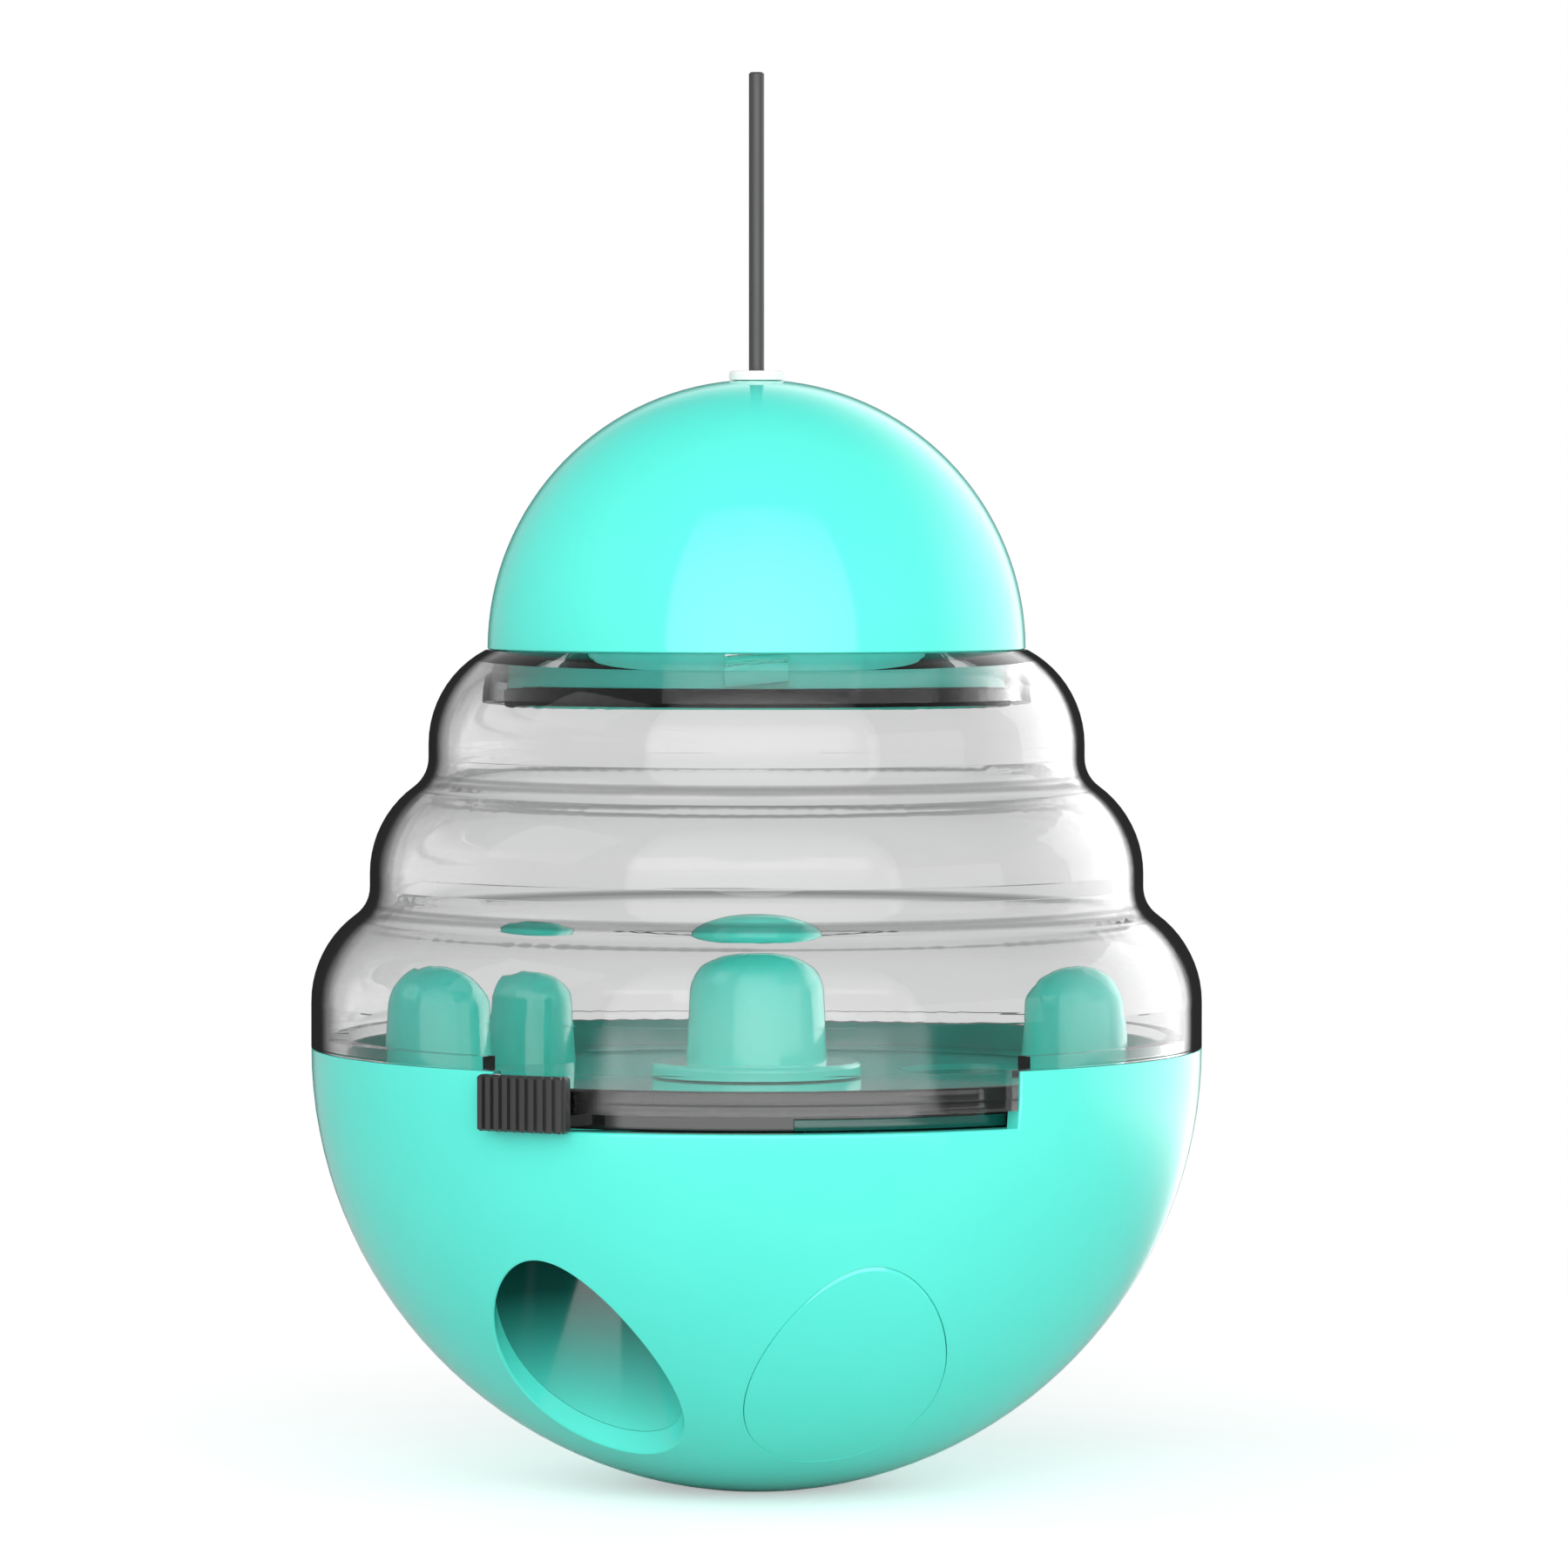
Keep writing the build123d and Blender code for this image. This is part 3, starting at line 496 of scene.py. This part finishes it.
clear, tree = new_material("clear acrylic")
place = add(tree, "ShaderNodeTexCoord").outputs
flat = add(
    tree, "ShaderNodeVectorMath", {"operation": "MULTIPLY", 1: LEVEL_PLANE}, {0: place["Object"]}
).outputs["Vector"]
outward = add(tree, "ShaderNodeVectorMath", {"operation": "NORMALIZE"}, {0: flat}).outputs["Vector"]
round_facing = add(
    tree, "ShaderNodeLayerWeight", {"Blend": EVEN_BLEND}, {"Normal": outward}
).outputs["Facing"]
wall_facing = add(tree, "ShaderNodeLayerWeight", {"Blend": EVEN_BLEND}).outputs["Facing"]
facing = add(
    tree, "ShaderNodeMath", {"operation": "MINIMUM"}, {0: round_facing, 1: wall_facing}
).outputs[0]
rim_shade = add(
    tree,
    "ShaderNodeMapRange",
    {"interpolation_type": "SMOOTHSTEP", "From Min": EDGE_STARTS, "From Max": EDGE_ENDS},
    {"Value": facing},
).outputs["Result"]
skin = add(
    tree, "ShaderNodeVectorMath", {"operation": "DOT_PRODUCT"}, {0: place["Normal"], 1: outward}
).outputs["Value"]
outside = add(tree, "ShaderNodeMath", {"operation": "GREATER_THAN", 1: 0.0}, {0: skin}).outputs[0]
edge = add(tree, "ShaderNodeMath", {"operation": "MULTIPLY"}, {0: rim_shade, 1: outside}).outputs[0]
print("edge nodes:", len(tree.nodes))

# %% [markdown]
# Between the tiers the wall folds into a groove, and the bottom of each fold shows as a thin grey line
# right round the body. The line could come from the glass alone, but in an all-white studio the fold has
# nothing dark to show either. Two soft bands of painted shade at the grooves' heights draw it.

# %% Painted shade in the grooves
GROOVE_HEIGHTS = (67.4 * MM, 82.4 * MM)
GROOVE_LINE = (0.15 * MM, 0.5 * MM)
GROOVE_SHADE = 0.42

height = add(tree, "ShaderNodeSeparateXYZ", links={"Vector": place["Object"]}).outputs["Z"]
# Painted shade: a soft dark band at each groove's height, on every skin of the wall.
for groove in GROOVE_HEIGHTS:
    above = add(tree, "ShaderNodeMath", {"operation": "SUBTRACT", 1: groove}, {0: height}).outputs[0]
    apart = add(tree, "ShaderNodeMath", {"operation": "ABSOLUTE"}, {0: above}).outputs[0]
    line = add(
        tree,
        "ShaderNodeMapRange",
        {"From Min": GROOVE_LINE[0], "From Max": GROOVE_LINE[1], "To Min": GROOVE_SHADE, "To Max": 0.0},
        {"Value": apart},
    ).outputs["Result"]
    edge = add(tree, "ShaderNodeMath", {"operation": "MAXIMUM"}, {0: edge, 1: line}).outputs[0]
print("groove lines:", len(GROOVE_HEIGHTS))

# %% [markdown]
# The wall itself is a Principled shader with full transmission, at acrylic's own index. A grey tint on its
# specular holds the gleam back, so the pieces inside stay easy to see. The painted dark edge has an index
# of one, which mirrors nothing. Glass would stop the lamps' own rays and leave the inside dark, so those
# rays meet a transparent shader with a slight tint and go on to the pieces inside.

# %% Clear acrylic
ACRYLIC_IOR = 1.49
NO_GLEAM_IOR = 1.0
EDGE_SHADE_ROUGHNESS = 0.3

glass = add(
    tree,
    "ShaderNodeBsdfPrincipled",
    {
        "Base Color": linear("#e8e8e8"),
        "IOR": ACRYLIC_IOR,
        "Roughness": 0.0,
        "Transmission Weight": 1.0,
        "Specular Tint": linear("#b5b5b5"),
    },
)
# Painted shade: a dark, unreflecting shader for the outlines of the clear walls.
edge_shade = add(
    tree,
    "ShaderNodeBsdfPrincipled",
    {"Base Color": linear("#2c2c2c"), "IOR": NO_GLEAM_IOR, "Roughness": EDGE_SHADE_ROUGHNESS},
)
walls = add(tree, "ShaderNodeMixShader", links={0: edge, 1: glass.outputs[0], 2: edge_shade.outputs[0]})
passing = add(tree, "ShaderNodeBsdfTransparent", {"Color": linear("#c4c4c4")})
ray = add(tree, "ShaderNodeLightPath").outputs["Is Shadow Ray"]
both = add(tree, "ShaderNodeMixShader", links={0: ray, 1: walls.outputs[0], 2: passing.outputs[0]})
add(tree, "ShaderNodeOutputMaterial", links={"Surface": both.outputs[0]})
print("clear acrylic nodes:", len(tree.nodes))

# %% [markdown]
# ## Rubber and coated wire
#
# The cap seals on a ring of black silicone rubber, the wand sits in a white rubber socket, and the wand
# is a wire in a grey coat. They are moulded or drawn with no polish, so their gloss is broad and weak.
# Each could have a shader of its own, but what they show is what moulded plastic shows, only duller, so
# the same function makes them.

# %% Rubber and coated wire
RUBBER_IOR = 1.5
# Silicone's own index is higher. Behind the neck's clear wall the seal reads black only with this one.
SEAL_IOR = 1.1

# Seal: a dull black that drinks the light
seal_rubber = moulded(
    "black silicone rubber", "#0b0b0b", "#080808", roughness=0.6, ior=SEAL_IOR, ripple=0.1
)
# Socket: a soft white with no highlight
grommet_rubber = moulded(
    "white rubber", "#f2f2f0", "#ebebe8", roughness=0.5, ior=RUBBER_IOR, ripple=0.1
)
# Wand: a dark grey coat with a faint sheen along it
wire_coating = moulded(
    "grey coated wire", "#3f3f3f", "#393939", roughness=0.45, ior=RUBBER_IOR, ripple=0.1
)
print("rubbers and coatings:", [made.name for made in (seal_rubber, grommet_rubber, wire_coating)])

# %% [markdown]
# ## Metal
#
# The screws and the washer are zinc plated steel, and the weight in the bowl is cast iron. They are
# hidden until the toy is taken apart. A metal has its colour in its reflection, so it is fully metallic
# with the default index. Plating leaves a fine even grain, a sand mould a coarse one, and one noise in
# two sizes gives both. They are drawn coarser than they are, so that they show.

# %% Steel and iron
METAL_RELIEF_DEPTH = 0.05 * MM


def bare_metal(name, colour, deeper, roughness, grit_mm, relief):
    """Bare metal: a tint that varies, and a fine relief from how it was plated or cast."""
    material, tree = new_material(name)
    place = add(tree, "ShaderNodeTexCoord").outputs["Object"]
    grit = add(
        tree, "ShaderNodeTexNoise", {"Scale": 1 / (grit_mm * MM), "Detail": 4.0}, {"Vector": place}
    ).outputs["Fac"]
    tint = add(
        tree, "ShaderNodeMix", {"data_type": "RGBA", 6: linear(colour), 7: linear(deeper)}, {0: grit}
    ).outputs[2]
    bump = add(
        tree, "ShaderNodeBump", {"Strength": relief, "Distance": METAL_RELIEF_DEPTH}, {"Height": grit}
    )
    shader = add(
        tree,
        "ShaderNodeBsdfPrincipled",
        {"Metallic": 1.0, "Roughness": roughness},
        {"Base Color": tint, "Normal": bump.outputs[0]},
    )
    add(tree, "ShaderNodeOutputMaterial", links={"Surface": shader.outputs[0]})
    return material


# Screws and washer: pale, with a satin gleam
steel = bare_metal(
    "zinc plated steel", "#c9cacc", "#b4b6b9", roughness=0.3, grit_mm=0.6, relief=0.1
)
# Weight: dark, rough and blotchy
iron = bare_metal("cast iron", "#6a6a6b", "#4f4f50", roughness=0.5, grit_mm=1.2, relief=0.4)
print("metals:", steel.name, "and", iron.name)

# %% [markdown]
# ## Dress the pieces
#
# The engineering model says for each piece what it is made of, so the finish could simply follow that.
# It does, except on three pieces: the stir plate has a sharper polish, and the chute and the shutter disc
# carry painted shade for their shaded place inside the bowl, the disc with a sharper polish too.

# %% Dress the nodes
finishes = {
    "turquoise_abs": turquoise,
    "clear_plastic": clear,
    "charcoal_abs": charcoal,
    "black_rubber": seal_rubber,
    "white_rubber": grommet_rubber,
    "grey_coating": wire_coating,
    "screw_steel": steel,
    "weight_iron": iron,
}
own_finishes_and_painted_shade = {
    "stir_plate": plate_turquoise,
    "outlet_chute": shaded_chute_turquoise,
    "shutter_disc": shaded_disc_charcoal,
}
for row in frame["record"]["subparts"]:
    piece = nodes[row["node"]]
    for slot in piece.material_slots:
        slot.material = own_finishes_and_painted_shade.get(row["node"], finishes[row["material_slot"]])

# %% [markdown]
# ## Trim on the shutter disc
#
# Two thin rims show in the window. A lip stands along the front of the disc and keeps treats on it: seen
# almost level, it hides the disc's top. Under it, on the right, a dark teal strip is painted shade: it
# stands where the shaded teal inside the bowl shows through the slot. Such a rim could be cut out of a
# ring, but it is easier to start from one small section, spin it round the toy's axis and close both ends.
# Its long edges are rounded so that they catch a line of light.

# %% How a rim is made
SPIN_STEPS = 96
SHARP_RADIANS = 1.0
ROUNDING_STEPS = 3


def rim_arc(name, radii, heights, azimuths, rounding, material):
    """A bar round the disc from one azimuth to another, in degrees from the front. It rides the shutter."""
    turn_from, turn_to = [math.radians(azimuth) for azimuth in azimuths]
    begin = Vector((math.sin(turn_from), -math.cos(turn_from), 0))
    inner, outer = radii
    low, high = heights
    section = [(inner, low), (outer, low), (outer, high), (inner, high)]
    bm = bmesh.new()
    corners = [bm.verts.new(begin * radius + Vector((0, 0, height))) for radius, height in section]
    sides = [bm.edges.new((corners[index - 1], corners[index])) for index in range(len(corners))]
    bmesh.ops.spin(
        bm,
        geom=corners + sides,
        cent=(0, 0, 0),
        axis=(0, 0, 1),
        angle=turn_to - turn_from,
        steps=SPIN_STEPS,
    )
    bmesh.ops.holes_fill(bm, edges=[edge for edge in bm.edges if edge.is_boundary], sides=len(section))
    bmesh.ops.recalc_face_normals(bm, faces=bm.faces)
    bmesh.ops.bevel(
        bm,
        geom=[edge for edge in bm.edges if edge.calc_face_angle(0) > SHARP_RADIANS],
        offset=rounding,
        affect="EDGES",
        segments=ROUNDING_STEPS,
        profile=0.5,
        material=-1,
    )
    for face in bm.faces:
        face.smooth = True
    mesh = bpy.data.meshes.new(name)
    bm.to_mesh(mesh)
    bm.free()
    mesh.materials.append(material)
    piece = bpy.data.objects.new(name, mesh)
    scene.collection.objects.link(piece)
    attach(piece, "shutter")
    print(name, "faces:", len(mesh.polygons))


# %% [markdown]
# The lip stands on top of the disc's rim, flush with its outside. The strip lies round the outside, a
# hair away from the rim, near the underside. Both could be placed by plain numbers, but here they take
# their place from the disc itself, so they follow it when the disc is made larger or lower.

# %% Lip and strip of the shutter disc
LIP_WIDTH, LIP_HEIGHT = 1.2 * MM, 1.7 * MM
LIP_AZIMUTHS = (-74, 74)
LIP_ROUNDING = 0.25 * MM
STRIP_GAP, STRIP_WIDTH = 0.02 * MM, 0.35 * MM
STRIP_FOOT, STRIP_TOP = 0.1 * MM, 1.35 * MM
STRIP_AZIMUTHS = (5, 36)
STRIP_ROUNDING = 0.08 * MM

disc_low, disc_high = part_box("shutter_disc")
disc_radius = (disc_high.x - disc_low.x) / 2
rim_arc(
    "disc_lip",
    (disc_radius - LIP_WIDTH, disc_radius),
    (disc_high.z, disc_high.z + LIP_HEIGHT),
    LIP_AZIMUTHS,
    LIP_ROUNDING,
    shaded_disc_charcoal,
)
# The teal strip is painted shade where the shaded inside of the bowl shows through the slot.
rim_arc(
    "slot_shade_strip",
    (disc_radius + STRIP_GAP, disc_radius + STRIP_WIDTH),
    (disc_low.z + STRIP_FOOT, disc_low.z + STRIP_TOP),
    STRIP_AZIMUTHS,
    STRIP_ROUNDING,
    painted_slot_shade,
)
